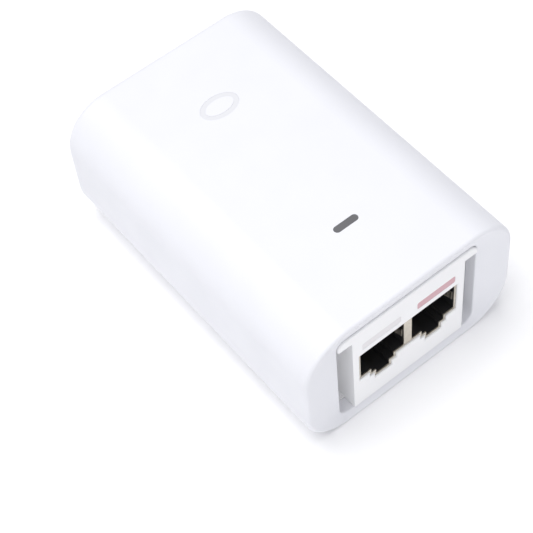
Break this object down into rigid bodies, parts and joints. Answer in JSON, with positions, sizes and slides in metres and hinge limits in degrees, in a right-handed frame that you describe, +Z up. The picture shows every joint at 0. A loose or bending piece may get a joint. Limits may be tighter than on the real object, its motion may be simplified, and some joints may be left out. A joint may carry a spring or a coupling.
{
  "type": "poe injector",
  "caption": "Desktop power-over-ethernet injector: rounded white sleeve, ganged network sockets at one end, mains inlet at the other, status light on top.",
  "frame": {"origin": "centre of the underside, on the surface it rests on", "axes": "+Z up, -Y towards the network sockets, +Y towards the mains inlet"},
  "size_m": [0.056, 0.083, 0.0346],
  "materials": {
    "white_shell": "fine satin moulded",
    "white_panel": "satin moulded",
    "label_film": "satin film",
    "mark_ink": "pad print",
    "grey_ink": "pad print",
    "red_ink": "pad print",
    "black_plastic": "moulded",
    "tinned_steel": "tin plated",
    "gold_plate": "gold flash",
    "board_green": "solder mask",
    "clear_film": "film",
    "nickel_plate": "nickel plated",
    "dark_steel": "black zinc",
    "dark_resin": "moulded",
    "blue_resin": "dipped resin",
    "yellow_plastic": "moulded",
    "ferrite": "sintered",
    "copper_wire": "enamelled",
    "can_sleeve": "shrink sleeve",
    "bare_aluminium": "stamped",
    "yellow_tape": "polyester tape",
    "led_resin": "clear resin",
    "smoke_lens": "smoked clear"
  },
  "bodies": {
    "case": {"housing": "white_shell", "port_panel": "white_panel", "rear_panel": "white_panel", "rating_plate": "label_film", "top_mark": "mark_ink", "data_port_bar": "grey_ink", "power_port_bar": "red_ink", "jack_housing": "black_plastic", "jack_shield": "tinned_steel", "jack_face_plate": "tinned_steel", "left_port_contacts": "gold_plate", "right_port_contacts": "gold_plate", "main_board": "board_green", "insulation_sheet": "clear_film", "inlet_body": "black_plastic", "inlet_pins": "nickel_plate", "cover_screws": "dark_steel", "fuse": "dark_resin", "varistor": "blue_resin", "x_capacitor": "yellow_plastic", "choke_core": "ferrite", "choke_windings": "copper_wire", "bridge_rectifier": "dark_resin", "bulk_capacitor": "can_sleeve", "heat_sink": "bare_aluminium", "switching_transistor": "dark_resin", "transformer_core": "ferrite", "transformer_coil": "yellow_tape", "transformer_bobbin": "black_plastic", "y_capacitor": "blue_resin", "control_chip": "dark_resin", "optocoupler": "dark_resin", "output_diode": "dark_resin", "output_capacitors": "can_sleeve", "output_inductor": "ferrite", "data_transformer": "dark_resin", "status_led": "led_resin", "light_pipe": "smoke_lens", "reset_switch": "black_plastic", "reset_guide": "black_plastic"},
    "button": {"reset_button": "black_plastic"}
  },
  "joints": [
    {"name": "reset_press", "type": "slide", "parent": "case", "child": "button", "axis": [0, 0, 1], "range_m": [0, 0.0003], "stiffness_N_per_m": 400, "springref_m": -0.0005}
  ]
}
